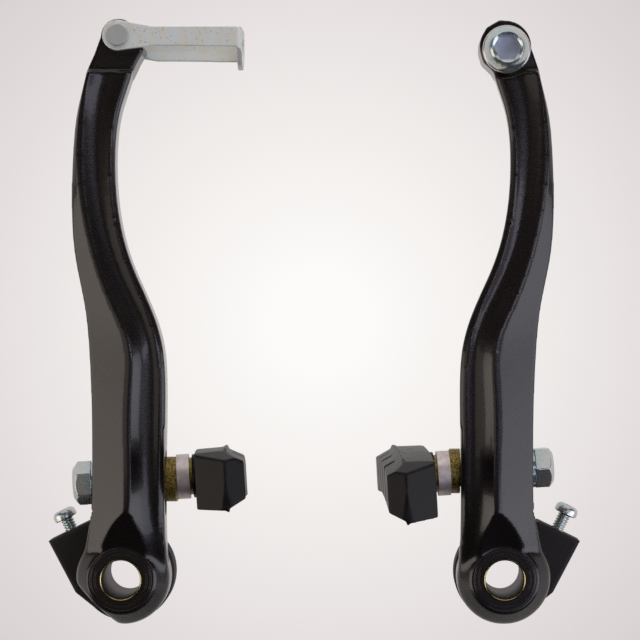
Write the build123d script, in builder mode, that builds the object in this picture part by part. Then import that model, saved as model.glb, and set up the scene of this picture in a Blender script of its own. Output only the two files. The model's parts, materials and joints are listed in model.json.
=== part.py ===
from build123d import *
import math
import os

os.makedirs("parts", exist_ok=True)

# A linear-pull rim brake for bicycles: two cast arms that turn on the fork's
# bosses. X runs across the fork, Z runs up and -Y faces the rider's view of the
# brake. The origin is midway between the two bosses, on the face they stand on.

# Bosses and bushes, in millimetres
boss_spacing = 80.0
boss_stud_r = 4.0
boss_clearance = 0.03
bush_wall = 0.3
bush_length = 17.5
running_clearance = 0.05

# Spring casings, behind the arms
casing_depth = 6.4
casing_r = 10.2
casing_front_wall = 0.9
casing_hub_wall = 1.0
casing_gap = 0.3
casing_corner = (-16.8, 6.8)
casing_top_slope = 26.0
casing_top_length = 9.8
casing_heel = (-11.0, -4.2)
casing_edge_r = 0.5
cavity_r = 8.7

# Return springs
spring_wire_r = 0.8
coil_r = 7.2
spring_pitch = 1.65
spring_turns = 2
spring_back_gap = 0.2
spring_leg_angle = 60.0
spring_leg_in_arm = 2.6
spring_hook_past_screw = 1.6
arm_travel = 12.0
slot_spare_angle = 3.0

# Pins that lock the casings to the fork
casing_pin_r = 1.0
casing_pin_angle = 203.0
casing_pin_out = 4.0
casing_pin_in = 4.5

# Spring tension screws
screw_r = 1.4
screw_out = 2.6
right_screw_backed_off = 1.1
screw_tip_gap = 0.05
screw_head_r = 2.5
screw_head_height = 2.0
screw_cross_width = 0.9
screw_cross_length = 2.9
screw_cross_depth = 1.1
screw_head_round = 0.8
screw_seat = 5.2

# Arms
boss_r = 9.9
boss_face = 17.2
boss_face_r = 6.9
boss_flank_depth = 3.5
boss_flat = 7.7
boss_flat_angle = 226.0
ring_groove_r = (5.45, 6.3)
ring_groove_width = 0.3
ring_groove_depth = 0.3
scoop_slope = 29.0
scoop_r = 20.0
pad_height = 21.6
head_height = 110.4
arm_back_bevel = 0.7
arm_draft = 0.6
ridge_half_width = 0.65
channel_depth = 0.8
rim_width = 1.1
rim_bevel = 0.6

# Each station across the arm: height, outer edge, ridge and inner edge from the
# boss axis, and the depths of the outer edge's top, the ridge and the inner rim.
boss_stations = [
    (-1.0, -9.0, 0.8, 9.4, 13.4, 17.6, 14.0),
    (6.0, -8.1, 1.0, 9.5, 14.2, 20.4, 16.6),
    (14.0, -6.3, 1.7, 9.3, 17.4, 21.4, 19.0),
]
# Above the shoe the same, but the height is a share of the way up to the head.
reach_stations = [
    (0.00, -5.9, 1.9, 9.3, 18.2, 21.5, 19.6),
    (0.20, -6.1, 2.0, 9.5, 18.1, 21.3, 19.6),
    (0.32, -6.7, 1.7, 8.6, 17.8, 21.0, 19.4),
    (0.40, -7.5, -1.3, 6.2, 17.7, 20.4, 19.0),
    (0.50, -9.3, -4.7, 2.3, 17.4, 19.6, 18.6),
    (0.62, -10.25, -7.3, -0.4, 17.2, 18.9, 18.2),
    (0.76, -10.0, -8.4, -1.1, 16.8, 18.2, 17.8),
    (0.87, -8.9, -7.9, 0.2, 16.5, 17.8, 17.5),
    (0.95, -7.3, -6.5, 2.4, 16.3, 17.6, 17.4),
]

# Shoe mounting: slot, pocket and spherical washers
stud_r = 3.0
stud_depth = 12.4
shoe_travel_up = 0.9
shoe_travel_down = 4.6
slot_clearance = 0.4
pocket_r = 5.0
pocket_end_clearance = 1.8
seat_inner = 9.2
seat_outer = -0.1
seat_gap = 0.03
sphere_r = 8.27
sphere_gap = 0.04
washer_r = 4.7
outer_washer_r = 4.1
washer_hole_r = 3.9
cup_face = 14.0
spacer_r = 3.9
spacer_length = 0.6
nut_face = -6.4
nut_flats = 8.0
nut_length = 3.1
nut_dome = 0.9
nut_bore_depth = 3.0

# How each shoe stands: its rise in the slot, its tilt, its toe-in, and how far the
# pad and the nut are turned about the stud.
left_shoe = (-1.0, 3.5, 3.2, 4.5, 30.0)
right_shoe = (0.7, -3.2, -2.1, 0.5, 0.0)

# Brake shoes
rim_r = 283.0
pad_length = 60.0
pad_collar_r = 4.6
pad_collar_length = 1.3
pad_back_height = 11.1
pad_ridge_height = 11.4
pad_face_height = 7.4
pad_body_depth = 6.0
pad_lip_depth = 0.5
pad_lip = 0.35
pad_face_depth = 3.3
pad_end_taper = 4.0
pad_end_bevel = 5.0
pad_end_drop = 1.8
pad_groove_width = 1.6
pad_groove_depth = 2.2
pad_grooves = 4
pad_groove_pitch = 11.0
stud_in_pad = 3.2

# Cable link on the left arm
rivet_place = (-0.65, head_height + 3.0)
rivet_r = 2.0
rivet_head_r = 2.35
rivet_head_height = 0.6
tenon_r = 3.65
tenon_back = 8.3
tenon_front = 16.3
head_overlap = 1.0
link_gap = 0.2
link_plate = 1.2
link_end_r = 3.2
link_length = 25.9
link_top = 1.8
link_waist = -2.2
link_end_drop = -2.4
link_back_drop = 2.2
link_bend_r = 1.1
link_neck = 7.5
keyhole_r = 2.8
keyhole_drop = 2.7
keyhole_lobe_r = 4.1
keyhole_slot = 2.4

# Cable anchor on the right arm
anchor_head_r = 5.4
anchor_head_place = (-0.2, head_height + 0.8)
anchor_head_back = 7.4
anchor_face = 16.4
anchor_place = (-0.3, head_height)
anchor_bolt_r = 3.0
anchor_bolt_length = 11.0
anchor_flange_r = 5.0
anchor_flange = 1.0
anchor_dome_r = 4.7
anchor_dome = 4.4
anchor_socket = 5.0
anchor_socket_depth = 2.6
anchor_washer_r = 4.9
anchor_washer = 1.0
anchor_gap = 0.05
cable_groove_r = 0.7

# Worked out from the sizes above
pivot_x = -boss_spacing / 2
bore_r = boss_stud_r + boss_clearance
bush_r = bore_r + bush_wall
arm_back = casing_depth + casing_gap
sphere_u = (seat_inner + seat_outer) / 2
pivot_axis = Axis((pivot_x, 0, 0), (0, 1, 0))
around_boss = Plane(origin=(pivot_x, 0, 0), x_dir=(1, 0, 0), z_dir=(0, 0, -1))


def facing(depth):
    """The plane that faces the viewer, with its origin on the left boss axis."""
    return Plane(origin=(pivot_x, -depth, 0), x_dir=(1, 0, 0), z_dir=(0, -1, 0))


def polar(radius, angle):
    """A point about the boss axis, seen from the front."""
    turn = math.radians(angle)
    return (radius * math.cos(turn), radius * math.sin(turn))


# Arm below the head, shared by both sides
def station_height(share):
    return pad_height + share * (head_height - pad_height)


def section_points(outer, ridge, inner, edge_top, ridge_top, rim_top):
    """One cut across the arm: outer facet, ridge, and the flute's start, middle and end."""
    half = min(ridge_half_width, 0.4 * (ridge - outer))
    flute_start = (ridge + half, ridge_top)
    flute_end = (inner - rim_width, rim_top)
    flute_middle = (
        (flute_start[0] + flute_end[0]) / 2,
        (flute_start[1] + flute_end[1]) / 2 - channel_depth,
    )
    outline = [
        flute_end,
        (inner, rim_top - rim_bevel),
        (inner - arm_draft, arm_back + arm_back_bevel),
        (inner - arm_draft - arm_back_bevel, arm_back),
        (outer + arm_draft + arm_back_bevel, arm_back),
        (outer + arm_draft, arm_back + arm_back_bevel),
        (outer, edge_top),
        (ridge - half, ridge_top),
        flute_start,
    ]
    flute = [flute_start, flute_middle, flute_end]
    return [[(pivot_x + across, -depth) for across, depth in points] for points in (outline, flute)]


stations = boss_stations + [(station_height(share), *rest) for share, *rest in reach_stations]
blank_top = 2 * boss_face
slot_half = stud_r + slot_clearance
shoe_travel = shoe_travel_up + shoe_travel_down
slot_middle = pad_height + (shoe_travel_up - shoe_travel_down) / 2
slot_height = shoe_travel + 2 * (slot_half + slot_clearance)
pocket_height = shoe_travel + 2 * (pocket_r + pocket_end_clearance)
seat_plane = Plane(
    origin=(pivot_x + seat_inner, -stud_depth, slot_middle), x_dir=(0, 0, 1), z_dir=(1, 0, 0)
)
leg_slot_r = spring_wire_r + slot_clearance / 2
leg_slot_start = spring_leg_angle - slot_spare_angle
leg_slot_angle = arm_travel + 2 * slot_spare_angle
leg_slot_end = leg_slot_start + leg_slot_angle
with BuildPart() as arm_body:
    for height, *rest in stations:
        outline, flute = section_points(*rest)
        with BuildSketch(Plane.XY.offset(height)):
            with BuildLine():
                Polyline(*outline)
                ThreePointArc(*flute)
            make_face()
    loft()
    # The boss at the foot, with a conical flank round its face
    with BuildSketch(around_boss):
        with BuildLine():
            Polyline(
                (0, arm_back),
                (boss_r - arm_back_bevel, arm_back),
                (boss_r, arm_back + arm_back_bevel),
                (boss_r, boss_face - boss_flank_depth),
                (boss_face_r, boss_face),
                (0, boss_face),
                close=True,
            )
        make_face()
    revolve(axis=pivot_axis)
    # The conical scoop that runs out up the ridge
    with BuildSketch(around_boss):
        with BuildLine():
            Polyline(
                (0, boss_face),
                (boss_face_r, boss_face),
                (scoop_r, boss_face + (scoop_r - boss_face_r) * math.tan(math.radians(scoop_slope))),
                (scoop_r, blank_top),
                (0, blank_top),
                close=True,
            )
        make_face()
    revolve(axis=pivot_axis, mode=Mode.SUBTRACT)
    # Turned rings on the face, and the bore for the bush
    with BuildSketch(facing(boss_face)):
        for groove_r in ring_groove_r:
            Circle(groove_r + ring_groove_width / 2)
            Circle(groove_r - ring_groove_width / 2, mode=Mode.SUBTRACT)
    extrude(amount=-ring_groove_depth, mode=Mode.SUBTRACT)
    with BuildSketch(facing(0)):
        Circle(bush_r + running_clearance)
    extrude(amount=blank_top, mode=Mode.SUBTRACT)
    # The shoe's flat seat, its slot right through and the pocket outside
    with BuildSketch(seat_plane):
        Rectangle(shoe_travel + 4 * washer_r, 2 * stud_depth)
    extrude(amount=boss_spacing / 2, mode=Mode.SUBTRACT)
    with BuildSketch(seat_plane):
        SlotOverall(slot_height, 2 * slot_half)
    extrude(amount=-boss_spacing, mode=Mode.SUBTRACT)
    with BuildSketch(seat_plane.offset(seat_outer - seat_inner)):
        SlotOverall(pocket_height, 2 * pocket_r)
    extrude(amount=-boss_spacing, mode=Mode.SUBTRACT)
    # The curved slot in the back for the spring's straight leg
    with BuildSketch(facing(arm_back)):
        with BuildLine():
            CenterArc((0, 0), coil_r + leg_slot_r, leg_slot_start, leg_slot_angle)
            CenterArc((0, 0), coil_r - leg_slot_r, leg_slot_start, leg_slot_angle)
            CenterArc(polar(coil_r, leg_slot_start), leg_slot_r, leg_slot_start, -180)
            CenterArc(polar(coil_r, leg_slot_end), leg_slot_r, leg_slot_end, 180)
        make_face()
    extrude(amount=spring_leg_in_arm + slot_clearance, mode=Mode.SUBTRACT)

# Left arm, with the tenon that carries the cable link
head_start = station_height(reach_stations[-1][0])
head_outer = reach_stations[-1][1]
head_inner = reach_stations[-1][3]
rivet_u, rivet_z = rivet_place
with BuildPart() as left_arm:
    add(arm_body.part)
    # The flat on the foot's outer corner
    with BuildSketch(facing(0)):
        with Locations(Location(polar(boss_flat + boss_r, boss_flat_angle), boss_flat_angle)):
            Rectangle(2 * boss_r, 3 * boss_r)
    extrude(amount=blank_top, mode=Mode.SUBTRACT)
    with BuildSketch(facing(tenon_back)):
        with Locations(rivet_place):
            Circle(tenon_r)
        with BuildLine():
            Polyline(
                (head_outer, head_start - head_overlap),
                (head_outer, head_start),
                (rivet_u - 1.36 * tenon_r, rivet_z - tenon_r),
                (rivet_u - tenon_r, rivet_z),
                (rivet_u + tenon_r, rivet_z),
                (rivet_u + 1.5 * tenon_r, rivet_z - 0.8 * tenon_r),
                (rivet_u + 1.1 * tenon_r, rivet_z - 1.45 * tenon_r),
                (head_inner, head_start),
                (head_inner - head_overlap / 2, head_start - head_overlap),
                close=True,
            )
        make_face()
    extrude(amount=tenon_front - tenon_back)
    with BuildSketch(facing(0)):
        with Locations(rivet_place):
            Circle(rivet_r)
    extrude(amount=2 * tenon_front, mode=Mode.SUBTRACT)

# Right arm, drawn left-handed with its anchor head and then mirrored
head_u, head_z = anchor_head_place
with BuildPart() as anchor_arm:
    add(arm_body.part)
    with BuildSketch(facing(anchor_head_back)):
        with Locations(anchor_head_place):
            Circle(anchor_head_r)
        with BuildLine():
            Polyline(
                (head_outer, head_start - head_overlap),
                (head_outer, head_start),
                (head_u - 1.05 * anchor_head_r, head_z - 0.2 * anchor_head_r),
                (head_u - 0.5 * anchor_head_r, head_z + 0.85 * anchor_head_r),
                (head_u + 0.2 * anchor_head_r, head_z + 1.04 * anchor_head_r),
                (head_u + 0.75 * anchor_head_r, head_z + 0.72 * anchor_head_r),
                (head_u + anchor_head_r, head_z - 0.15 * anchor_head_r),
                (head_u + 0.87 * anchor_head_r, head_z - 0.6 * anchor_head_r),
                (head_inner, head_start),
                (head_inner - head_overlap / 2, head_start - head_overlap),
                close=True,
            )
        make_face()
    extrude(amount=anchor_face - anchor_head_back)
    with BuildSketch(facing(anchor_face)):
        with Locations(anchor_head_place):
            Circle(1.2 * anchor_head_r)
    extrude(amount=boss_face, mode=Mode.SUBTRACT)
    with BuildSketch(facing(0)):
        with Locations(anchor_place):
            Circle(anchor_bolt_r + running_clearance)
    extrude(amount=2 * anchor_face, mode=Mode.SUBTRACT)
with BuildPart() as right_arm:
    mirror(anchor_arm.part, about=Plane.YZ)

# Bush that the arm turns on
with BuildPart() as left_bush:
    with BuildSketch(facing(0)):
        Circle(bush_r)
        Circle(bore_r, mode=Mode.SUBTRACT)
    extrude(amount=bush_length)

# Where the tension screw enters the casing's wedge, and where its tip meets the spring
along_top = polar(1, casing_top_slope)
up_screw = polar(1, casing_top_slope + 90)
top_end = tuple(c + casing_top_length * t for c, t in zip(casing_corner, along_top))
screw_entry = tuple(c + screw_seat * t for c, t in zip(casing_corner, along_top))
entry_height = screw_entry[0] * up_screw[0] + screw_entry[1] * up_screw[1]
entry_reach = -(screw_entry[0] * along_top[0] + screw_entry[1] * along_top[1])
screw_in = entry_height - coil_r - spring_wire_r - screw_tip_gap
hook_length = entry_reach + spring_hook_past_screw
spring_middle = spring_back_gap + spring_wire_r
pin_place = polar((cavity_r + casing_r) / 2 + casing_pin_r / 2, casing_pin_angle)
screw_plane = Plane(
    origin=(pivot_x + screw_entry[0], -casing_depth / 2, screw_entry[1]),
    x_dir=(along_top[0], 0, along_top[1]),
    z_dir=(up_screw[0], 0, up_screw[1]),
)

# Spring casing: a cup open at the back, with a wedge that takes the screw
with BuildPart() as left_spring_casing:
    with BuildSketch(facing(0)):
        Circle(casing_r)
        with BuildLine():
            Polyline(
                casing_corner,
                casing_heel,
                polar(casing_r, 225),
                (0, 0),
                polar(casing_r, 105),
                top_end,
                close=True,
            )
        make_face()
    extrude(amount=casing_depth)
    chamfer(left_spring_casing.faces().sort_by(Axis.Y)[0].edges(), casing_edge_r)
    with BuildSketch(facing(0)):
        Circle(cavity_r)
        Circle(bush_r + casing_hub_wall, mode=Mode.SUBTRACT)
    extrude(amount=casing_depth - casing_front_wall, mode=Mode.SUBTRACT)
    with BuildSketch(facing(0)):
        Circle(bush_r + boss_clearance)
        with Locations(polar(coil_r, spring_leg_angle)):
            Circle(spring_wire_r + running_clearance)
    extrude(amount=casing_depth, mode=Mode.SUBTRACT)
    # The channel for the spring's hook, then the holes for the pin and the screw
    hook_middle = tuple(coil_r * s - hook_length / 2 * t for s, t in zip(up_screw, along_top))
    with BuildSketch(facing(0)):
        with Locations(Location(hook_middle, casing_top_slope)):
            Rectangle(hook_length + slot_clearance, 2 * spring_wire_r + slot_clearance)
    extrude(amount=spring_middle + spring_wire_r + slot_clearance, mode=Mode.SUBTRACT)
    with BuildSketch(facing(0)):
        with Locations(pin_place):
            Circle(casing_pin_r)
    extrude(amount=casing_pin_in, mode=Mode.SUBTRACT)
    with BuildSketch(screw_plane):
        Circle(screw_r + running_clearance)
    extrude(amount=-screw_in, mode=Mode.SUBTRACT)

# Pin that stops the casing from turning on the fork
with BuildPart() as left_casing_pin:
    with BuildSketch(facing(-casing_pin_out)):
        with Locations(pin_place):
            Circle(casing_pin_r)
    extrude(amount=casing_pin_out + casing_pin_in)
    chamfer(left_casing_pin.edges().sort_by(Axis.Y)[-1], casing_pin_r / 3)

# Return spring: a coil round the hub, a hook under the screw and a leg into the arm
hook_start = polar(coil_r, casing_top_slope + 90)
leg_start = polar(coil_r, spring_leg_angle)
coil_turns = spring_turns + ((casing_top_slope + 90 - spring_leg_angle) % 360) / 360
coil_front = spring_middle + spring_pitch * coil_turns
coil_plane = Plane(
    origin=(pivot_x, -spring_middle, 0),
    x_dir=(hook_start[0], 0, hook_start[1]),
    z_dir=(0, -1, 0),
)
coil = coil_plane.location * Helix(spring_pitch, spring_pitch * coil_turns, coil_r, lefthand=True)
with BuildPart() as left_return_spring:
    with BuildSketch(Plane(origin=coil @ 0, z_dir=coil % 0)):
        Circle(spring_wire_r)
    sweep(path=coil, is_frenet=True)
    hook_plane = Plane(
        origin=(pivot_x + hook_start[0], -spring_middle, hook_start[1]),
        x_dir=(0, -1, 0),
        z_dir=(-along_top[0], 0, -along_top[1]),
    )
    with BuildSketch(hook_plane):
        Circle(spring_wire_r)
    extrude(amount=hook_length)
    with BuildSketch(facing(coil_front)):
        with Locations(leg_start):
            Circle(spring_wire_r)
    extrude(amount=arm_back + spring_leg_in_arm - coil_front)
    with Locations(
        (pivot_x + hook_start[0], -spring_middle, hook_start[1]),
        (pivot_x + leg_start[0], -coil_front, leg_start[1]),
    ):
        Sphere(spring_wire_r)

# Tension screw with a cross recess
with BuildPart() as left_tension_screw:
    with BuildSketch(screw_plane.offset(-screw_in)):
        Circle(screw_r)
    extrude(amount=screw_in + screw_out)
    with BuildSketch(screw_plane.offset(screw_out)):
        Circle(screw_head_r)
    extrude(amount=screw_head_height)
    head_top = left_tension_screw.faces().sort_by(Axis(screw_plane.origin, screw_plane.z_dir))[-1]
    fillet(head_top.edges(), screw_head_round)
    with BuildSketch(screw_plane.offset(screw_out + screw_head_height)):
        Rectangle(screw_cross_length, screw_cross_width)
        Rectangle(screw_cross_width, screw_cross_length)
    extrude(amount=-screw_cross_depth, mode=Mode.SUBTRACT)
backed_off = Location(right_screw_backed_off * screw_plane.z_dir)
with BuildPart() as right_tension_screw:
    mirror(left_tension_screw.part.moved(backed_off), about=Plane.YZ)


# Shoe mounting
def stud_plane(rise, tilt=0.0, toe=0.0, turn=0.0):
    """The plane through a stud's middle: its x is the way up, its y the way along the stud."""
    lean, swing, spin = math.radians(tilt), math.radians(toe), math.radians(turn)
    along = Vector(
        math.cos(lean) * math.cos(swing), math.cos(lean) * math.sin(swing), math.sin(lean)
    )
    away = Vector(-math.sin(swing), math.cos(swing), 0)
    up = along.cross(away)
    return Plane(
        origin=(pivot_x + sphere_u, -stud_depth, pad_height + rise),
        x_dir=up * math.cos(spin) + away * math.sin(spin),
        z_dir=away * math.cos(spin) - up * math.sin(spin),
    )


def across(stud, place):
    """The plane square to a stud, at a place counted from the boss axis."""
    return Plane(
        origin=stud.origin + stud.y_dir * (place - sphere_u), x_dir=stud.z_dir, z_dir=stud.y_dir
    )


def dome(radius, ball_r):
    return math.sqrt(ball_r**2 - radius**2)


def washer_profile(side, hole_r, rim_radius, flat, ball_r):
    """Points round half a washer's section, and the arc of its round face."""
    middle_r = (hole_r + rim_radius) / 2
    straight = [
        (hole_r, side * dome(hole_r, ball_r)),
        (hole_r, flat),
        (rim_radius, flat),
        (rim_radius, side * dome(rim_radius, ball_r)),
    ]
    return straight, [straight[3], (middle_r, side * dome(middle_r, ball_r)), straight[0]]


def convex_washer(stud, side, rim_radius):
    """A washer flat on the arm and domed away from it: side is 1 inside, -1 outside."""
    flat = side * ((seat_inner - seat_outer) / 2 + seat_gap)
    straight, arc = washer_profile(side, washer_hole_r, rim_radius, flat, sphere_r)
    with BuildPart() as washer:
        with BuildSketch(stud):
            with BuildLine():
                Polyline(*straight)
                ThreePointArc(*arc)
            make_face()
        revolve(axis=Axis(stud.origin, stud.y_dir))
    return washer


def cup_washer(stud, side, rim_radius, flat_place):
    """The washer whose hollow face rocks on the dome."""
    hole_r = stud_r + running_clearance
    flat = flat_place - sphere_u
    straight, arc = washer_profile(side, hole_r, rim_radius, flat, sphere_r + sphere_gap)
    with BuildPart() as washer:
        with BuildSketch(stud):
            with BuildLine():
                Polyline(*straight)
                ThreePointArc(*arc)
            make_face()
        revolve(axis=Axis(stud.origin, stud.y_dir))
    return washer


def spacer(stud):
    with BuildPart() as ring:
        with BuildSketch(across(stud, cup_face)):
            Circle(spacer_r)
            Circle(stud_r + running_clearance, mode=Mode.SUBTRACT)
        extrude(amount=spacer_length)
    return ring


def pad_nut(stud):
    """A domed nut, bored only as far as the stud reaches."""
    corner_r = nut_flats / math.sqrt(3)
    start = nut_face - sphere_u
    end = start - nut_length - nut_dome
    with BuildPart() as nut:
        with BuildSketch(across(stud, nut_face)):
            RegularPolygon(nut_flats / 2, 6, major_radius=False)
        extrude(amount=end - start)
        with BuildSketch(stud):
            with BuildLine():
                Polyline(
                    (0, start),
                    (corner_r + nut_dome, start),
                    (corner_r + nut_dome, end + 2 * nut_dome),
                    (nut_flats / 2 - nut_dome, end),
                    (0, end),
                    close=True,
                )
            make_face()
        revolve(axis=Axis(stud.origin, stud.y_dir), mode=Mode.INTERSECT)
        with BuildSketch(across(stud, nut_face)):
            Circle(stud_r + running_clearance)
        extrude(amount=-nut_bore_depth, mode=Mode.SUBTRACT)
    return nut


pad_start = cup_face + spacer_length
pad_back = pad_start + pad_collar_length
pad_ridge = pad_back + pad_body_depth
pad_lip_end = pad_ridge + pad_lip_depth
pad_front = pad_lip_end + pad_face_depth


def pad_stud(stud):
    start = nut_face - nut_bore_depth + running_clearance
    with BuildPart() as bolt:
        with BuildSketch(across(stud, start)):
            Circle(stud_r)
        extrude(amount=pad_start + stud_in_pad - start)
    return bolt


def brake_pad(stud):
    """A rubber shoe curved to the rim, with a lip along its ridge and tapered ends."""
    rim_axis = Axis(stud.origin - stud.x_dir * rim_r, stud.y_dir)
    half_arc = math.degrees(pad_length / 2 / rim_r)
    back, ridge = pad_back - sphere_u, pad_ridge - sphere_u
    lip_end, front = pad_lip_end - sphere_u, pad_front - sphere_u
    half_ridge = pad_ridge_height / 2
    half_profile = [
        (pad_back_height / 2, back),
        (half_ridge, ridge),
        (half_ridge + pad_lip, ridge),
        (half_ridge + pad_lip, lip_end),
        (half_ridge - pad_lip, lip_end),
        (pad_face_height / 2, front),
    ]
    with BuildPart() as pad:
        with BuildSketch(stud, mode=Mode.PRIVATE) as profile:
            with BuildLine():
                Polyline(*half_profile, *[(-x, y) for x, y in reversed(half_profile)], close=True)
            make_face()
        revolve(profile.sketch.rotate(rim_axis, -half_arc), axis=rim_axis, revolution_arc=2 * half_arc)
        # Ends tapered towards the back, seen from above
        reach = pad_length / 2
        from_above = Plane(origin=stud.origin, x_dir=stud.z_dir, z_dir=-stud.x_dir)
        with BuildSketch(from_above.offset(-pad_length)):
            with BuildLine():
                Polyline(
                    (reach - pad_end_taper, back),
                    (reach, ridge),
                    (reach - pad_end_taper / 2, front),
                    (pad_end_taper / 2 - reach, front),
                    (-reach, ridge),
                    (pad_end_taper - reach, back),
                    close=True,
                )
            make_face()
        extrude(amount=2 * pad_length, mode=Mode.INTERSECT)
        # Bevels down to both ends, seen along the stud
        top = pad_ridge_height / 2 + pad_lip
        end_top = top + math.sqrt(rim_r**2 - reach**2) - rim_r
        with BuildSketch(across(stud, pad_start)):
            with BuildLine():
                Polyline(
                    (reach, -2 * top),
                    (reach, end_top - pad_end_drop),
                    (reach - pad_end_bevel, end_top),
                    (0, 2 * top),
                    (pad_end_bevel - reach, end_top),
                    (-reach, end_top - pad_end_drop),
                    (-reach, -2 * top),
                    close=True,
                )
            make_face()
        extrude(amount=pad_length, mode=Mode.INTERSECT)
        # Water grooves across the braking face
        with BuildSketch(from_above.offset(-pad_length)):
            with Locations((0, front - pad_groove_depth / 2)):
                with GridLocations(pad_groove_pitch, 1, pad_grooves, 1):
                    Rectangle(pad_groove_width, pad_groove_depth)
        extrude(amount=2 * pad_length, mode=Mode.SUBTRACT)
        with BuildSketch(across(stud, pad_start)):
            Circle(pad_collar_r)
        extrude(amount=pad_collar_length)
        with BuildSketch(across(stud, pad_start)):
            Circle(stud_r)
        extrude(amount=stud_in_pad, mode=Mode.SUBTRACT)
    return pad


# Both sides of the shoe mounting, the right one drawn left-handed
def shoe_pieces(rise, tilt, toe, pad_turn, nut_turn):
    level = stud_plane(rise)
    rocked = stud_plane(rise, tilt, toe)
    pad_plane = stud_plane(rise, tilt, toe, pad_turn)
    return {
        "inner_convex_washer": convex_washer(level, 1, washer_r),
        "inner_cup_washer": cup_washer(rocked, 1, washer_r, cup_face),
        "inner_spacer": spacer(rocked),
        "outer_convex_washer": convex_washer(level, -1, outer_washer_r),
        "outer_cup_washer": cup_washer(rocked, -1, outer_washer_r, nut_face),
        "pad_nut": pad_nut(stud_plane(rise, tilt, toe, nut_turn)),
        "pad_stud": pad_stud(pad_plane),
        "brake_pad": brake_pad(pad_plane),
    }


# Cable link: a folded strap on the left arm, with a keyhole in its end
link_front = tenon_front + link_gap
link_back = tenon_back - link_gap


def link_side(drop):
    """Points round one side plate, counted from the rivet."""
    return [
        (0, link_end_r),
        (link_neck, link_top),
        (link_length, link_top),
        (link_length, link_end_drop - drop),
        (link_length / 2, link_waist - drop),
        (link_neck, link_waist - drop),
        (0, -link_end_r),
    ]


# The side view of each half and the end view, which trim a folded strap
link_width = link_front - link_back + 2 * link_plate
link_middle = (link_front + link_back) / 2
end_plane = Plane(
    origin=(pivot_x + rivet_u + link_length, -link_middle, rivet_z), x_dir=(0, 1, 0), z_dir=(1, 0, 0)
)
with BuildPart() as link_views:
    for drop, thickness in ((0.0, link_width), (link_back_drop, -link_width)):
        with BuildSketch(facing(link_middle)):
            with Locations(rivet_place):
                Circle(link_end_r)
            with BuildLine():
                Polyline(*[(rivet_u + x, rivet_z + z) for x, z in link_side(drop)], close=True)
            make_face()
        extrude(amount=thickness)
    with BuildSketch(end_plane):
        with BuildLine():
            Polyline(
                (-link_width, link_top),
                (link_width, link_top),
                (link_width, link_end_drop - link_back_drop),
                (link_width / 2, link_end_drop - link_back_drop),
                (keyhole_lobe_r * 0.9, -keyhole_drop - keyhole_lobe_r * 0.45),
                (-keyhole_lobe_r * 0.9, -keyhole_drop - keyhole_lobe_r * 0.45),
                (-link_width / 2, link_end_drop),
                (-link_width, link_end_drop),
                close=True,
            )
        make_face()
        with Locations((0, -keyhole_drop)):
            Circle(keyhole_lobe_r)
    extrude(amount=-link_bend_r)
with BuildPart() as noodle_link:
    strap_length = link_length + 2 * link_end_r
    strap_height = 8 * link_end_r
    with BuildSketch(Plane.XY.offset(rivet_z - strap_height / 2)):
        with Locations((pivot_x + rivet_u + link_length - strap_length / 2, -link_middle)):
            Rectangle(strap_length, link_width)
    extrude(amount=strap_height)
    fillet(noodle_link.edges().filter_by(Axis.Z).group_by(Axis.X)[-1], link_bend_r)
    with BuildSketch(Plane.XY.offset(rivet_z - strap_height / 2)):
        with Locations((pivot_x + rivet_u + link_length - link_plate - strap_length / 2, -link_middle)):
            Rectangle(strap_length, link_width - 2 * link_plate)
    extrude(amount=strap_height, mode=Mode.SUBTRACT)
    add(link_views.part, mode=Mode.INTERSECT)
    with BuildSketch(end_plane):
        with Locations((0, -keyhole_drop)):
            Circle(keyhole_r)
        with Locations((0, (link_top - keyhole_drop) / 2)):
            Rectangle(keyhole_slot, link_top + keyhole_drop + 0.1)
    extrude(amount=-link_plate, mode=Mode.SUBTRACT)
    with BuildSketch(facing(0)):
        with Locations(rivet_place):
            Circle(rivet_r + running_clearance)
    extrude(amount=2 * link_front, mode=Mode.SUBTRACT)

# Rivet that the link turns on
with BuildPart() as link_rivet:
    rivet_start = link_back - link_plate - running_clearance
    rivet_end = link_front + link_plate + running_clearance
    with BuildSketch(facing(rivet_start)):
        with Locations(rivet_place):
            Circle(rivet_r)
    extrude(amount=rivet_end - rivet_start)
    with BuildSketch(facing(rivet_end)):
        with Locations(rivet_place):
            Circle(rivet_head_r)
    extrude(amount=rivet_head_height, taper=20)
    with BuildSketch(facing(rivet_start)):
        with Locations(rivet_place):
            Circle(rivet_head_r)
    extrude(amount=-rivet_head_height, taper=20)

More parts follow.
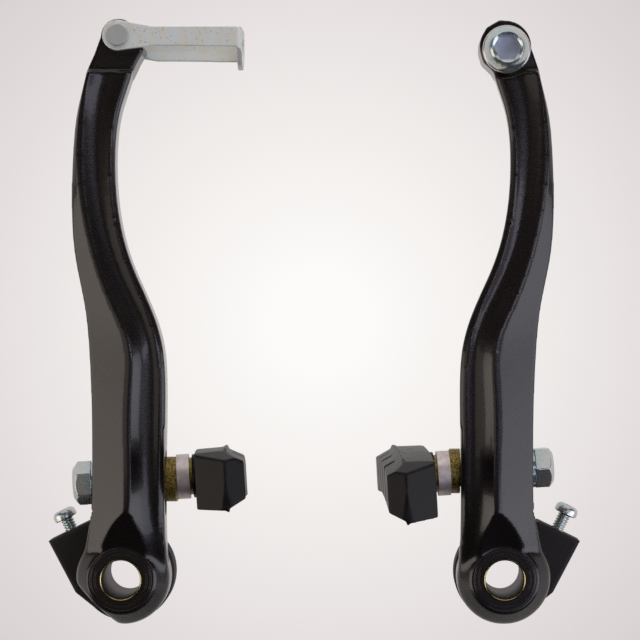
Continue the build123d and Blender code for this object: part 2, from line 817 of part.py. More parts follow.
# Cable anchor on the right arm, drawn left-handed: a grooved washer and a bolt
anchor_u, anchor_z = anchor_place
washer_start = anchor_face + anchor_gap
head_start_depth = washer_start + anchor_washer
with BuildPart() as left_handed_anchor_washer:
    with BuildSketch(facing(washer_start)):
        with Locations(anchor_place):
            Circle(anchor_washer_r)
            Circle(anchor_bolt_r + running_clearance, mode=Mode.SUBTRACT)
    extrude(amount=anchor_washer)
    groove_plane = Plane(
        origin=(pivot_x + anchor_u, -washer_start, anchor_z - anchor_bolt_r - cable_groove_r),
        x_dir=(0, 1, 0),
        z_dir=(1, 0, 0),
    )
    with BuildSketch(groove_plane.offset(-2 * anchor_washer_r)):
        Circle(cable_groove_r)
    extrude(amount=4 * anchor_washer_r, mode=Mode.SUBTRACT)
with BuildPart() as left_handed_anchor_bolt:
    anchor_axis_plane = Plane(
        origin=(pivot_x + anchor_u, 0, anchor_z), x_dir=(1, 0, 0), z_dir=(0, 0, -1)
    )
    flange_top = head_start_depth + anchor_flange
    dome_top = head_start_depth + anchor_dome
    socket_rim = 1.1 * anchor_socket / math.sqrt(3)
    with BuildSketch(anchor_axis_plane):
        with BuildLine():
            Polyline(
                (socket_rim, dome_top),
                (0, dome_top),
                (0, anchor_face - anchor_bolt_length),
                (anchor_bolt_r, anchor_face - anchor_bolt_length),
                (anchor_bolt_r, head_start_depth),
                (anchor_flange_r, head_start_depth),
                (anchor_flange_r, flange_top - anchor_flange / 2),
                (anchor_dome_r, flange_top),
            )
            ThreePointArc(
                (anchor_dome_r, flange_top),
                (0.3 * socket_rim + 0.7 * anchor_dome_r, 0.6 * dome_top + 0.4 * flange_top),
                (socket_rim, dome_top),
            )
        make_face()
    revolve(axis=Axis((pivot_x + anchor_u, 0, anchor_z), (0, 1, 0)))
    with BuildSketch(facing(dome_top)):
        with Locations(anchor_place):
            RegularPolygon(anchor_socket / 2, 6, major_radius=False)
    extrude(amount=-anchor_socket_depth, mode=Mode.SUBTRACT)

# The right side, mirrored from the left-handed pieces
mirrored = {
    "right_bush": left_bush,
    "right_spring_casing": left_spring_casing,
    "right_casing_pin": left_casing_pin,
    "right_return_spring": left_return_spring,
    "anchor_washer": left_handed_anchor_washer,
    "anchor_bolt": left_handed_anchor_bolt,
}
for name, piece in shoe_pieces(*right_shoe).items():
    mirrored["right_" + name] = piece
pieces = {
    "left_arm": left_arm,
    "right_arm": right_arm,
    "left_bush": left_bush,
    "left_spring_casing": left_spring_casing,
    "left_casing_pin": left_casing_pin,
    "left_return_spring": left_return_spring,
    "left_tension_screw": left_tension_screw,
    "right_tension_screw": right_tension_screw,
    "noodle_link": noodle_link,
    "link_rivet": link_rivet,
}
for name, piece in shoe_pieces(*left_shoe).items():
    pieces["left_" + name] = piece
for name, piece in mirrored.items():
    with BuildPart() as flipped:
        mirror(piece.part, about=Plane.YZ)
    pieces[name] = flipped

# One STEP file for each piece
for name, piece in pieces.items():
    piece.part.label = name
    export_step(piece.part, f"parts/{name}.step")
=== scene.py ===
# %% [markdown]
# # A linear-pull bicycle brake
#
# Two cast arms turn on the bosses of a fork and press rubber shoes on the rim.
# The solids come from a CAD model that is packed as a fixed frame. This lesson
# gives them their finishes, and rebuilds the pieces whose small forms the eye
# looks for: soft cast edges, turned faces, screw threads and pressed recesses.

# %% Load the frame
import json
import math

import bmesh
import bpy
from mathutils import Matrix, Vector

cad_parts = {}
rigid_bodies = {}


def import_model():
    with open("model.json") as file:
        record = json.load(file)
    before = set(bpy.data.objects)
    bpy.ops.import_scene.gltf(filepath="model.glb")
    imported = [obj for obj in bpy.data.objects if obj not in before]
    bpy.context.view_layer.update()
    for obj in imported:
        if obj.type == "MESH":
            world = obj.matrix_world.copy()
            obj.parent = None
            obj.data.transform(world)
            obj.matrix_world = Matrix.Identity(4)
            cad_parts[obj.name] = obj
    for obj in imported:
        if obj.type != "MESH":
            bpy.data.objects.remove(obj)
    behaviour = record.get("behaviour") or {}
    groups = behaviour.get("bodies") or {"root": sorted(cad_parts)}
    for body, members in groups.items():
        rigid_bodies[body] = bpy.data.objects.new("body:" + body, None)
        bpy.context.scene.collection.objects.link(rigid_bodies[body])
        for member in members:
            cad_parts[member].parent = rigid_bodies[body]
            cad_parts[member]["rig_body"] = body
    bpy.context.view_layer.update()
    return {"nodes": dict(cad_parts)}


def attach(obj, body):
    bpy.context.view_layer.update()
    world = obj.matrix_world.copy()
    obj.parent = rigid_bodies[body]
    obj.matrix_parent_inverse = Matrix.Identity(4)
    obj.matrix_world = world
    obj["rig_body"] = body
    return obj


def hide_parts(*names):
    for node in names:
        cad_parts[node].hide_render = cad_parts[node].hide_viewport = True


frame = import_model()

MM = 0.001
BOSS_X = 40  # each boss's axis stands this many millimetres from the middle
print("nodes:", len(frame["nodes"]))

# %% [markdown]
# ## Colours and nodes
#
# Colours are easiest to choose as the hex codes that a screen shows, but Blender
# mixes light with linear numbers, so one function turns the first into the
# second. Every finish below is a small tree of nodes, and one helper adds each
# node with its settings and its links, so that a finish reads as a list.

# %% Helpers for finishes
def srgb(code):
    """A hex colour as the linear RGBA that shaders use."""
    channels = [int(code[i : i + 2], 16) / 255 for i in (1, 3, 5)]
    linear = [c / 12.92 if c <= 0.04045 else ((c + 0.055) / 1.055) ** 2.4 for c in channels]
    return (*linear, 1.0)


def add_node(tree, kind, settings=None, inputs=None):
    """Adds a node, sets its properties, and gives its inputs a value or a link."""
    made = tree.nodes.new(kind)
    for name, value in (settings or {}).items():
        setattr(made, name, value)
    for socket, value in (inputs or {}).items():
        if isinstance(value, bpy.types.NodeSocket):
            tree.links.new(value, made.inputs[socket])
        else:
            made.inputs[socket].default_value = value
    return made


def start_finish(name):
    """A new material, its tree and shader, and the piece's own coordinates in metres."""
    finish = bpy.data.materials.new(name)
    finish.use_nodes = True
    tree = finish.node_tree
    place = add_node(tree, "ShaderNodeTexCoord").outputs["Object"]
    return finish, tree, tree.nodes["Principled BSDF"], place


print("a black of #191313 in linear numbers:", [round(c, 4) for c in srgb("#191313")])

# %% [markdown]
# ## Camera
#
# The picture was taken from well in front, a little to the right of the middle:
# both bores show their outer walls, and the left one shows more of it.
# The camera stands there and looks straight along Y, so upright edges stay
# upright, and a small lens shift centres the pair in the frame.

# %% Camera
camera_place = Vector((12.0, -460, 58.3)) * MM
picture_centre = Vector((1.5, -17, 54.1)) * MM
picture_width = 133.3 * MM
sensor_width = 36
camera = bpy.data.objects.new("camera", bpy.data.cameras.new("camera"))
bpy.context.scene.collection.objects.link(camera)
camera.location = camera_place
camera.rotation_euler = (math.radians(90), 0, 0)
camera.data.sensor_width = sensor_width
camera.data.lens = sensor_width * (picture_centre.y - camera_place.y) / picture_width
camera.data.shift_x = (picture_centre.x - camera_place.x) / picture_width
camera.data.shift_y = (picture_centre.z - camera_place.z) / picture_width
bpy.context.scene.camera = camera
bpy.context.scene.view_settings.view_transform = "Standard"
print("lens:", round(camera.data.lens, 1), "mm, shift:", round(camera.data.shift_x, 3))

# %% [markdown]
# ## Studio
#
# Black gloss paint has almost no colour of its own: the eye reads its shape from
# what it mirrors. So the light is built as a photographer builds it for such a
# thing. Dark cards close the front, the sides and the space below, which keeps
# the surfaces that face the lens black. Dim soft boxes stand before the cards,
# each where one set of surfaces mirrors it: a wide low one on each side for the
# facets, a panel and a thin strip near the lens for the flutes and the upper
# arm, and a low one for what looks down. The large box overhead only lights: it
# isn't mirrored, because it would turn every washer and nut white on top.
#
# The background is a pale sheet that is brightest behind the object. It is given
# to the world, because a wall would stand in the way of the views from behind.
# The cards are hidden from the camera for the same reason, and the floor can be
# seen through from below.

# %% World
world = bpy.data.worlds.new("pale_studio")
bpy.context.scene.world = world
world.use_nodes = True
sky = world.node_tree
sky.nodes.clear()
look = (picture_centre - camera_place).normalized()
direction = add_node(sky, "ShaderNodeTexCoord").outputs["Generated"]
away = add_node(sky, "ShaderNodeVectorMath", {"operation": "DISTANCE"}, {0: direction, 1: look})

# A step of 0.1 in this distance turns the line of sight by about 6 degrees.
glow = add_node(sky, "ShaderNodeValToRGB", inputs={"Fac": away.outputs["Value"]})
glow.color_ramp.elements[0].position = 0.02
glow.color_ramp.elements[0].color = srgb("#FDFBF9")
glow.color_ramp.elements[1].position = 0.23
glow.color_ramp.elements[1].color = srgb("#D3CDCD")
edge_tone = glow.color_ramp.elements.new(0.145)
edge_tone.color = srgb("#E7E2E1")

rays = add_node(sky, "ShaderNodeLightPath")
seen = add_node(
    sky,
    "ShaderNodeMath",
    {"operation": "MAXIMUM"},
    {0: rays.outputs["Is Camera Ray"], 1: rays.outputs["Is Glossy Ray"]},
)
seen_or_passed = add_node(
    sky,
    "ShaderNodeMath",
    {"operation": "MAXIMUM"},
    {0: seen.outputs[0], 1: rays.outputs["Is Transmission Ray"]},
)
fill_light = add_node(
    sky, "ShaderNodeBackground", inputs={"Color": srgb("#F4F1EE"), "Strength": 0.35}
)
pale_sheet = add_node(
    sky, "ShaderNodeBackground", inputs={"Color": glow.outputs["Color"], "Strength": 1.0}
)
both = add_node(
    sky,
    "ShaderNodeMixShader",
    inputs={0: seen_or_passed.outputs[0], 1: fill_light.outputs[0], 2: pale_sheet.outputs[0]},
)
add_node(sky, "ShaderNodeOutputWorld", inputs={"Surface": both.outputs[0]})
print("the sheet is brightest towards", [round(v, 3) for v in look])

# %% Soft boxes
object_middle = Vector((0, -0.01, 0.055))
lamp_distance = 0.9


def soft_box(name, azimuth, elevation, size, watts, code):
    """A rectangular lamp that faces the object; azimuth 0 is the camera's side, 90 the right."""
    turn, rise = math.radians(azimuth), math.radians(elevation)
    sideways, forwards = math.cos(rise) * math.sin(turn), math.cos(rise) * math.cos(turn)
    towards_lamp = Vector((sideways, -forwards, math.sin(rise)))
    lamp = bpy.data.lights.new(name, "AREA")
    lamp.shape = "RECTANGLE"
    lamp.size, lamp.size_y = size
    lamp.energy = watts
    lamp.color = srgb(code)[:3]
    stand = bpy.data.objects.new(name, lamp)
    bpy.context.scene.collection.objects.link(stand)
    stand.location = object_middle + lamp_distance * towards_lamp
    stand.rotation_euler = (-towards_lamp).to_track_quat("-Z", "Y").to_euler()
    return stand


soft_box("left_box", azimuth=-67, elevation=-12, size=(0.74, 0.60), watts=2.5, code="#FFF3E8")
soft_box("left_panel", azimuth=-25, elevation=0, size=(0.52, 0.20), watts=0.27, code="#FFF0E6")
soft_box("right_box", azimuth=66, elevation=-12, size=(0.70, 0.60), watts=2.7, code="#F1F2FF")
soft_box("low_box", azimuth=30, elevation=-21, size=(0.42, 0.46), watts=1.1, code="#E8EAFF")
soft_box("high_strip", azimuth=22, elevation=5.5, size=(0.50, 0.08), watts=0.42, code="#EFEBFF")
top_box = soft_box(
    "top_box", azimuth=0, elevation=64, size=(1.5, 0.80), watts=10.0, code="#FFFFFF"
)
top_box.visible_glossy = False

# %% Dark cards
def stage_sheet(name, corners, finish):
    """A flat stage piece from its four corners, in metres."""
    shape = bmesh.new()
    shape.faces.new([shape.verts.new(corner) for corner in corners])
    mesh = bpy.data.meshes.new(name)
    shape.to_mesh(mesh)
    shape.free()
    mesh.materials.append(finish)
    sheet = bpy.data.objects.new(name, mesh)
    bpy.context.scene.collection.objects.link(sheet)
    return sheet


card_finish, _, card_shader, _ = start_finish("black_card")
card_shader.inputs["Base Color"].default_value = srgb("#1C1718")
card_shader.inputs["Roughness"].default_value = 1.0
card_x, front_y, back_y = 1.0, -1.0, 0.1
card_low, card_high = -0.8, 1.0
front_left, front_right = (-card_x, front_y), (card_x, front_y)
back_left, back_right = (-card_x, back_y), (card_x, back_y)
under = (front_left, front_right, back_right, back_left)
cards = {"below": [(x, y, card_low) for x, y in under]}
for side, (x0, y0), (x1, y1) in (
    ("front", front_left, front_right),
    ("left", back_left, front_left),
    ("right", front_right, back_right),
):
    foot = [(x0, y0, card_low), (x1, y1, card_low)]
    head = [(x1, y1, card_high), (x0, y0, card_high)]
    cards[side] = foot + head
for side, corners in cards.items():
    stage_sheet("dark_card_" + side, corners, card_finish).visible_camera = False
print("dark cards:", list(cards))

# %% Floor
floor_finish, tree, shader, _ = start_finish("pale_paper")
shader.inputs["Base Color"].default_value = srgb("#DDD8D7")
shader.inputs["Roughness"].default_value = 0.9
from_below = add_node(tree, "ShaderNodeNewGeometry").outputs["Backfacing"]
clear = add_node(tree, "ShaderNodeBsdfTransparent")
paper_or_clear = add_node(
    tree,
    "ShaderNodeMixShader",
    inputs={0: from_below, 1: shader.outputs[0], 2: clear.outputs[0]},
)
tree.links.new(paper_or_clear.outputs[0], tree.nodes["Material Output"].inputs["Surface"])
floor_x, floor_depth, floor_z = 0.35, 0.27, -0.10
floor_corners = [(-floor_x, 0), (floor_x, 0), (floor_x, floor_depth), (-floor_x, floor_depth)]
stage_sheet("floor", [(x, y, floor_z) for x, y in floor_corners], floor_finish)

# %% [markdown]
# ## Finish: black paint on cast aluminium
#
# The arms are cast, tumbled and then sprayed with black gloss paint. The paint
# hides the metal, so it is a plain dielectric, and a clear coat on top gives the
# sharp highlight over a softer one. Sprayed paint levels out with a faint orange
# peel, waves about half a millimetre wide, which breaks up the long highlights.

# %% Black paint
dust_size = 0.25 * MM  # real dust is finer: one pixel of the render is about 0.2 mm
peel_width = 0.6 * MM
peel_height = 0.005 * MM
paint, tree, shader, place = start_finish("black_gloss_paint_on_cast_aluminium")
dust = add_node(
    tree, "ShaderNodeTexNoise", inputs={"Vector": place, "Scale": 1 / dust_size, "Detail": 3.0}
)
tone = add_node(tree, "ShaderNodeValToRGB", inputs={"Fac": dust.outputs["Fac"]})
tone.color_ramp.elements[0].position = 0.35
tone.color_ramp.elements[0].color = srgb("#0C0909")
tone.color_ramp.elements[1].position = 0.68
tone.color_ramp.elements[1].color = srgb("#191313")
tree.links.new(tone.outputs["Color"], shader.inputs["Base Color"])
levelled = add_node(
    tree,
    "ShaderNodeMapRange",
    inputs={"Value": dust.outputs["Fac"], "To Min": 0.23, "To Max": 0.33},
)
tree.links.new(levelled.outputs["Result"], shader.inputs["Roughness"])
shader.inputs["Coat Weight"].default_value = 0.3
shader.inputs["Coat Roughness"].default_value = 0.08
peel = add_node(
    tree, "ShaderNodeTexNoise", inputs={"Vector": place, "Scale": 1 / peel_width, "Detail": 1.0}
)
peel_bump = add_node(
    tree,
    "ShaderNodeBump",
    inputs={"Height": peel.outputs["Fac"], "Distance": peel_height, "Strength": 1.0},
)
tree.links.new(peel_bump.outputs["Normal"], shader.inputs["Normal"])
print("finish:", paint.name)

# %% [markdown]
# ## Finish: moulded nylon
#
# The spring casings are injection moulded from black nylon. The mould is spark
# eroded, so the skin is a fine even grain without gloss.

# %% Moulded nylon
grain_size = 0.2 * MM  # spark erosion leaves about 0.05 mm, which a pixel would hide
grain_height = 0.02 * MM
nylon, tree, shader, place = start_finish("black_moulded_nylon")
grain = add_node(
    tree, "ShaderNodeTexNoise", inputs={"Vector": place, "Scale": 1 / grain_size, "Detail": 4.0}
)
shade = add_node(tree, "ShaderNodeValToRGB", inputs={"Fac": grain.outputs["Fac"]})
shade.color_ramp.elements[0].position = 0.3
shade.color_ramp.elements[0].color = srgb("#110D0D")
shade.color_ramp.elements[1].position = 0.75
shade.color_ramp.elements[1].color = srgb("#1E1919")
tree.links.new(shade.outputs["Color"], shader.inputs["Base Color"])
shader.inputs["Roughness"].default_value = 0.62
shader.inputs["Specular IOR Level"].default_value = 0.4
skin = add_node(
    tree,
    "ShaderNodeBump",
    inputs={"Height": grain.outputs["Fac"], "Distance": grain_height, "Strength": 1.0},
)
tree.links.new(skin.outputs["Normal"], shader.inputs["Normal"])
print("finish:", nylon.name)

# %% [markdown]
# ## Finish: moulded rubber
#
# Brake shoes are moulded from a black rubber compound with fillers. It scatters
# light widely, and a trace of mould release leaves cloudy patches a few
# millimetres across.

# %% Rubber
cloud_size = 3.0 * MM
filler_size = 0.18 * MM  # the grains are finer, and drawn as coarse as a pixel
filler_height = 0.015 * MM
rubber, tree, shader, place = start_finish("black_moulded_rubber")
clouds = add_node(
    tree, "ShaderNodeTexNoise", inputs={"Vector": place, "Scale": 1 / cloud_size, "Detail": 5.0}
)
shade = add_node(tree, "ShaderNodeValToRGB", inputs={"Fac": clouds.outputs["Fac"]})
shade.color_ramp.elements[0].position = 0.35
shade.color_ramp.elements[0].color = srgb("#0B0909")
shade.color_ramp.elements[1].position = 0.7
shade.color_ramp.elements[1].color = srgb("#151213")
tree.links.new(shade.outputs["Color"], shader.inputs["Base Color"])
dull = add_node(
    tree,
    "ShaderNodeMapRange",
    inputs={"Value": clouds.outputs["Fac"], "To Min": 0.3, "To Max": 0.5},
)
tree.links.new(dull.outputs["Result"], shader.inputs["Roughness"])
shader.inputs["Specular IOR Level"].default_value = 0.22
filler = add_node(
    tree, "ShaderNodeTexNoise", inputs={"Vector": place, "Scale": 1 / filler_size, "Detail": 3.0}
)
skin = add_node(
    tree,
    "ShaderNodeBump",
    inputs={"Height": filler.outputs["Fac"], "Distance": filler_height, "Strength": 1.0},
)
tree.links.new(skin.outputs["Normal"], shader.inputs["Normal"])
print("finish:", rubber.name)

# %% [markdown]
# ## Finish: zinc plate
#
# Nuts, screws, the anchor bolt and the link are steel with bright zinc, dipped
# in a clear blue passivation. The plate is a metal with a fine satin, and the
# dip leaves a tint that wanders between cool and warm. The link is stamped from
# strip and barrel plated, so it is duller, paler and speckled. A pressed recess
# takes less plate and stays satin, and the rivet's head is dulled by forming.
# The cup washers are tumbled nickel, which is warmer and hazier. The dip and the
# haze scatter more light than bare metal does, so none is fully metallic.

# %% Zinc
pore_size = 0.45 * MM
satin_size = 0.15 * MM  # the crystals are finer, and drawn as coarse as a pixel
satin_height = 0.006 * MM


def zinc_plate(name, cool, warm, roughness, metallic, patch, specks=0.0):
    """Plated steel: two tints over patches that many millimetres wide, and dark specks."""
    finish, tree, shader, place = start_finish(name)
    drift = add_node(
        tree,
        "ShaderNodeTexNoise",
        inputs={"Vector": place, "Scale": 1 / (patch * MM), "Detail": 4.0},
    )
    tint = add_node(tree, "ShaderNodeValToRGB", inputs={"Fac": drift.outputs["Fac"]})
    tint.color_ramp.elements[0].position = 0.38
    tint.color_ramp.elements[0].color = srgb(cool)
    tint.color_ramp.elements[1].position = 0.64
    tint.color_ramp.elements[1].color = srgb(warm)
    pores = add_node(
        tree,
        "ShaderNodeTexNoise",
        inputs={"Vector": place, "Scale": 1 / pore_size, "Detail": 1.0},
    )
    is_pore = add_node(
        tree,
        "ShaderNodeMapRange",
        inputs={
            "Value": pores.outputs["Fac"], "From Min": 0.66, "From Max": 0.74, "To Max": specks
        },
    )
    speckled = add_node(
        tree,
        "ShaderNodeMix",
        {"data_type": "RGBA"},
        {"Factor": is_pore.outputs["Result"], 6: tint.outputs["Color"], 7: srgb("#6E6A64")},
    )
    tree.links.new(speckled.outputs[2], shader.inputs["Base Color"])
    shader.inputs["Metallic"].default_value = metallic
    satin = add_node(
        tree,
        "ShaderNodeTexNoise",
        inputs={"Vector": place, "Scale": 1 / satin_size, "Detail": 2.0},
    )
    spread = add_node(
        tree,
        "ShaderNodeMapRange",
        inputs={
            "Value": satin.outputs["Fac"], "To Min": roughness - 0.07, "To Max": roughness + 0.1
        },
    )
    tree.links.new(spread.outputs["Result"], shader.inputs["Roughness"])
    skin = add_node(
        tree,
        "ShaderNodeBump",
        inputs={"Height": satin.outputs["Fac"], "Distance": satin_height, "Strength": 1.0},
    )
    tree.links.new(skin.outputs["Normal"], shader.inputs["Normal"])
    print("finish:", finish.name)
    return finish


# %% The plated finishes
bright_zinc = zinc_plate(
    "bright_zinc_on_turned_steel", "#BFD0D2", "#D9D6CF", roughness=0.22, metallic=0.86, patch=4.0
)
strip_zinc = zinc_plate(
    "barrel_zinc_on_stamped_strip", "#DEE5E4", "#E2DFD3",
    roughness=0.42, metallic=0.4, patch=2.5, specks=0.5,
)
rivet_zinc = zinc_plate(
    "dull_zinc_on_formed_rivet", "#BCC0BD", "#C4C3BE", roughness=0.48, metallic=0.6, patch=1.5
)
recess_zinc = zinc_plate(
    "satin_zinc_in_pressed_recess", "#BCC5D6", "#CDD1DC", roughness=0.55, metallic=0.6, patch=1.5
)
cup_nickel = zinc_plate(
    "tumbled_nickel_on_sintered_steel", "#D6CCCB", "#C6B9B6",
    roughness=0.36, metallic=0.5, patch=1.0,
)

# %% [markdown]
# ## Finish: yellow chromate, brass and spring wire
#
# The convex washers are zinc in yellow chromate, olive-gold and rough from the
# sintered metal under it. The bushes are drawn brass tube: the lip shines, and
# the bore is coloured dark brown as painted shade, and is rougher. The springs
# are oiled steel wire, grey with cloudy marks from the coiling.

# %% Yellow chromate
pit_size = 0.35 * MM
pit_depth = 0.05 * MM
chromate, tree, shader, place = start_finish("yellow_chromate_on_sintered_steel")
pits = add_node(tree, "ShaderNodeTexVoronoi", inputs={"Vector": place, "Scale": 1 / pit_size})
gold = add_node(tree, "ShaderNodeValToRGB", inputs={"Fac": pits.outputs["Distance"]})
gold.color_ramp.elements[0].position = 0.1
gold.color_ramp.elements[0].color = srgb("#B7A257")
gold.color_ramp.elements[1].position = 0.75
gold.color_ramp.elements[1].color = srgb("#5B4A22")
tree.links.new(gold.outputs["Color"], shader.inputs["Base Color"])
shader.inputs["Metallic"].default_value = 0.7
shader.inputs["Roughness"].default_value = 0.4
skin = add_node(
    tree,
    "ShaderNodeBump",
    {"invert": True},
    {"Height": pits.outputs["Distance"], "Distance": pit_depth, "Strength": 1.0},
)
tree.links.new(skin.outputs["Normal"], shader.inputs["Normal"])
print("finish:", chromate.name)

# %% Brass, with painted shade in the bore
streak_size = 0.4 * MM
# Inside these radii round the boss's axis, the bore is coloured dark brown as painted shade.
unshaded_from, painted_shade_to = 4.1 * MM, 4.06 * MM  # radii round the boss's axis
brass, tree, shader, place = start_finish("drawn_brass_tube")
streaks = add_node(
    tree, "ShaderNodeTexNoise", inputs={"Vector": place, "Scale": 1 / streak_size, "Detail": 3.0}
)
tint = add_node(tree, "ShaderNodeValToRGB", inputs={"Fac": streaks.outputs["Fac"]})
tint.color_ramp.elements[0].color = srgb("#C9B36A")
tint.color_ramp.elements[1].color = srgb("#EADFA8")
axes = add_node(tree, "ShaderNodeSeparateXYZ", inputs={0: place})
one_side = add_node(tree, "ShaderNodeMath", {"operation": "ABSOLUTE"}, {0: axes.outputs["X"]})
across = add_node(
    tree, "ShaderNodeMath", {"operation": "SUBTRACT"}, {0: one_side.outputs[0], 1: BOSS_X * MM}
)
flat = add_node(
    tree, "ShaderNodeCombineXYZ", inputs={"X": across.outputs[0], "Z": axes.outputs["Z"]}
)
reach = add_node(tree, "ShaderNodeVectorMath", {"operation": "LENGTH"}, {0: flat.outputs[0]})
in_bore = add_node(
    tree,
    "ShaderNodeMapRange",
    inputs={"Value": reach.outputs["Value"], "From Min": unshaded_from, "From Max": painted_shade_to},
)
# Painted shade: the bore's colour is mixed towards a dark brown.
painted_bore_shade = add_node(
    tree,
    "ShaderNodeMix",
    {"data_type": "RGBA"},
    {"Factor": in_bore.outputs["Result"], 6: tint.outputs["Color"], 7: srgb("#3A302B")},
)
tree.links.new(painted_bore_shade.outputs[2], shader.inputs["Base Color"])
shader.inputs["Metallic"].default_value = 1.0
# The bore is also drawn rougher, where its shade is painted.
bore_dullness = add_node(
    tree,
    "ShaderNodeMapRange",
    inputs={"Value": in_bore.outputs["Result"], "To Min": 0.28, "To Max": 0.5},
)
tree.links.new(bore_dullness.outputs["Result"], shader.inputs["Roughness"])
print("finish:", brass.name)

# %% Spring wire
mark_size = 0.8 * MM
spring_steel, tree, shader, place = start_finish("oiled_spring_wire")
marks = add_node(
    tree, "ShaderNodeTexNoise", inputs={"Vector": place, "Scale": 1 / mark_size, "Detail": 4.0}
)
tint = add_node(tree, "ShaderNodeValToRGB", inputs={"Fac": marks.outputs["Fac"]})
tint.color_ramp.elements[0].color = srgb("#5E5F62")
tint.color_ramp.elements[1].color = srgb("#9A9B9D")
tree.links.new(tint.outputs["Color"], shader.inputs["Base Color"])
shader.inputs["Metallic"].default_value = 1.0
shader.inputs["Roughness"].default_value = 0.32
print("finish:", spring_steel.name)

# %% [markdown]
# ## Soft edges
#
# A CAD solid has edges as sharp as a knife, and real castings, mouldings and
# plated parts never do. A bevel needs clean loops of edges, which a trimmed
# solid's triangles don't have, so each of these pieces is a copy that is
# remeshed into tiny squares and then relaxed a little. The squares are smaller
# than the radius that the edge should get.
#
# The arms get two steps more. In the casting the arm's root flows into the round
# boss, so the points there are relaxed further, in layers from the bottom up.
# The relaxing pulls the bore out of round, so it is reamed as a workshop does.

# %% A softened copy of a solid
def relax(shape, verts, passes):
    """Moves points halfway to the middle of their neighbours, that many times."""
    for _ in range(passes):
        bmesh.ops.smooth_vert(
            shape, verts=verts, factor=0.5, use_axis_x=True, use_axis_y=True, use_axis_z=True
        )


def softened(node, voxel, passes, finish):
    """A copy of a CAD node, rounded over a few voxels of so many mm, which stands for it."""
    solid = frame["nodes"][node]
    shape = bmesh.new()
    shape.from_mesh(solid.data)
    bmesh.ops.remove_doubles(shape, verts=shape.verts, dist=0.001 * MM)
    mesh = bpy.data.meshes.new(node + "_soft")
    shape.to_mesh(mesh)
    shape.free()
    rough = bpy.data.objects.new(node + "_rough", mesh)
    bpy.context.scene.collection.objects.link(rough)
    remesh = rough.modifiers.new("remesh", "REMESH")
    remesh.mode = "VOXEL"
    remesh.voxel_size = voxel * MM
    remeshed = rough.evaluated_get(bpy.context.evaluated_depsgraph_get())
    fine_mesh = bpy.data.meshes.new_from_object(remeshed)
    bpy.data.objects.remove(rough)
    shape = bmesh.new()
    shape.from_mesh(fine_mesh)
    relax(shape, shape.verts, passes)
    for face in shape.faces:
        face.smooth = True
    shape.to_mesh(fine_mesh)
    shape.free()
    fine_mesh.materials.clear()
    fine_mesh.materials.append(finish)
    piece = bpy.data.objects.new(node + "_soft", fine_mesh)
    bpy.context.scene.collection.objects.link(piece)
    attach(piece, solid["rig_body"])
    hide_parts(node)
    print(node, "softened:", len(fine_mesh.polygons) * 2, "triangles")
    return piece


# %% Arms, with the foot blended and the bore reamed
root_from, root_to = 7.1 * MM, 12.5 * MM  # radii round the boss's axis
root_front = -9 * MM
layer_tops = range(3, 11)  # in millimetres above the boss's axis
passes_per_layer = 3
ream_r = 4.36 * MM


def finish_foot(arm, boss_x):
    """Blends the arm's root into the boss's flank, and reams the bore round again."""
    shape = bmesh.new()
    shape.from_mesh(arm.data)

    def reach(vert):
        return math.hypot(vert.co.x - boss_x, vert.co.z)

    for top in layer_tops:
        root = [
            v
            for v in shape.verts
            if root_from < reach(v) < root_to and v.co.z < top * MM and v.co.y < root_front
        ]
        relax(shape, root, passes_per_layer)
    for vert in shape.verts:
        if reach(vert) < ream_r:
            out = Vector((vert.co.x - boss_x, 0, vert.co.z)).normalized() * ream_r
            vert.co.x, vert.co.z = boss_x + out.x, out.z
    shape.to_mesh(arm.data)
    shape.free()
    print(arm.name, "blended points:", len(root))


for side, sign in (("left", -1), ("right", 1)):
    arm = softened(side + "_arm", voxel=0.32, passes=4, finish=paint)
    finish_foot(arm, sign * BOSS_X * MM)

# %% Casings, shoes, nuts and link
for side in ("left", "right"):
    softened(side + "_spring_casing", voxel=0.25, passes=2, finish=nylon)
    softened(side + "_brake_pad", voxel=0.25, passes=2, finish=rubber)
    softened(side + "_pad_nut", voxel=0.12, passes=3, finish=bright_zinc)
softened("noodle_link", voxel=0.15, passes=3, finish=strip_zinc)

# %% [markdown]
# ## Turned and threaded pieces
#
# A bolt is turned on a lathe, so its mesh is a profile spun round an axis. The
# drive in its head is pressed in afterwards: the flat top is filled between the
# rim and the recess's outline, the outline is pushed down, and its edge gets a
# small bevel, because that edge is where a plated head glints. A thread is a
# profile of teeth spun once while it climbs by one tooth, so that each tooth
# meets the next, and then it is cut flat and capped at both ends. The bushes and
# the faces of the bosses are turned too: a bush's lip has a chamfer that glints,
# and the face keeps two fine grooves from the tool.
#
# These pieces are drawn in millimetres, with the axis along Z.

# %% Lathe
weld = 0.0005


def turned(shape, profile, steps=72):
    """Spins a profile of (radius, height) points once round Z."""
    points = [shape.verts.new((radius, 0, height)) for radius, height in profile]
    edges = [shape.edges.new(pair) for pair in zip(points, points[1:])]
    bmesh.ops.spin(
        shape,
        geom=points + edges,
        axis=(0, 0, 1),
        angle=math.tau,
        steps=steps,
        use_merge=True,
    )
    bmesh.ops.remove_doubles(shape, verts=shape.verts, dist=weld)


